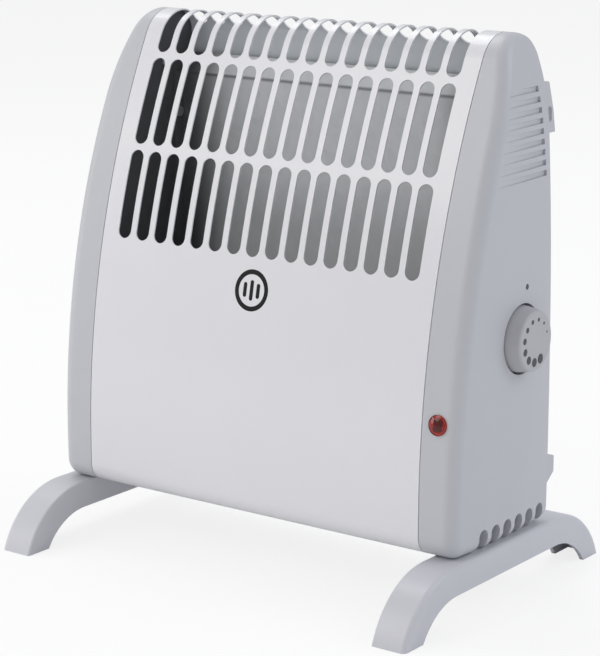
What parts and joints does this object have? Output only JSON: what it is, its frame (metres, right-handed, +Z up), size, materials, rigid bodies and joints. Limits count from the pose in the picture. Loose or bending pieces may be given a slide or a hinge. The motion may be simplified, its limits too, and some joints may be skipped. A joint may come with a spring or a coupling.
{
  "type": "convector heater",
  "caption": "Small free-standing electric convector heater with a slotted wrap-round sheet casing, moulded end caps, arched feet, a side thermostat knob and a pilot lamp.",
  "frame": {"origin": "on the floor, midway between the four foot tips", "axes": "+X towards the cap with the knob, +Y towards the back, +Z up"},
  "size_m": [0.2828, 0.1964, 0.2993],
  "materials": {
    "white_enamel": "satin white enamel on sheet steel",
    "bare_steel": "galvanised sheet",
    "grey_plastic": "smooth moulded, light cool grey",
    "knob_plastic": "smooth moulded, light grey",
    "black_rubber": "matt",
    "bright_sheet": "satin mill finish",
    "element_sheath": "heat-dulled",
    "ceramic": "unglazed ceramic",
    "dark_plastic": "black phenolic",
    "plated_steel": "zinc plated",
    "brass": "plain brass",
    "red_lens": "clear red moulding"
  },
  "bodies": {
    "casing": {"front_panel": "white_enamel", "rear_panel": "white_enamel", "bottom_plate": "bare_steel", "left_side_plate": "bare_steel", "right_side_plate": "bare_steel", "left_end_cap": "grey_plastic", "right_end_cap": "grey_plastic", "left_foot": "grey_plastic", "right_foot": "grey_plastic", "cord_grommet": "black_rubber", "reflector": "bright_sheet", "heating_element": "element_sheath", "element_fins": "bright_sheet", "left_element_bush": "ceramic", "right_element_bush": "ceramic", "thermal_cutout": "dark_plastic", "thermostat_body": "dark_plastic", "thermostat_nut": "plated_steel", "pilot_lens": "red_lens", "neon_lamp": "dark_plastic", "pilot_clip": "plated_steel", "terminal_block": "ceramic", "earth_stud": "brass", "earth_nut": "brass", "cap_screws": "plated_steel", "foot_screws": "plated_steel", "panel_screws": "plated_steel", "rivets": "bright_sheet"},
    "knob": {"thermostat_spindle": "brass", "thermostat_knob": "knob_plastic"}
  },
  "joints": [
    {"name": "knob_turn", "type": "hinge", "parent": "casing", "child": "knob", "pos_m": [0.138, 0.014, 0.1406], "axis": [1, 0, 0], "range_deg": [-214.2, 64.8]}
  ]
}
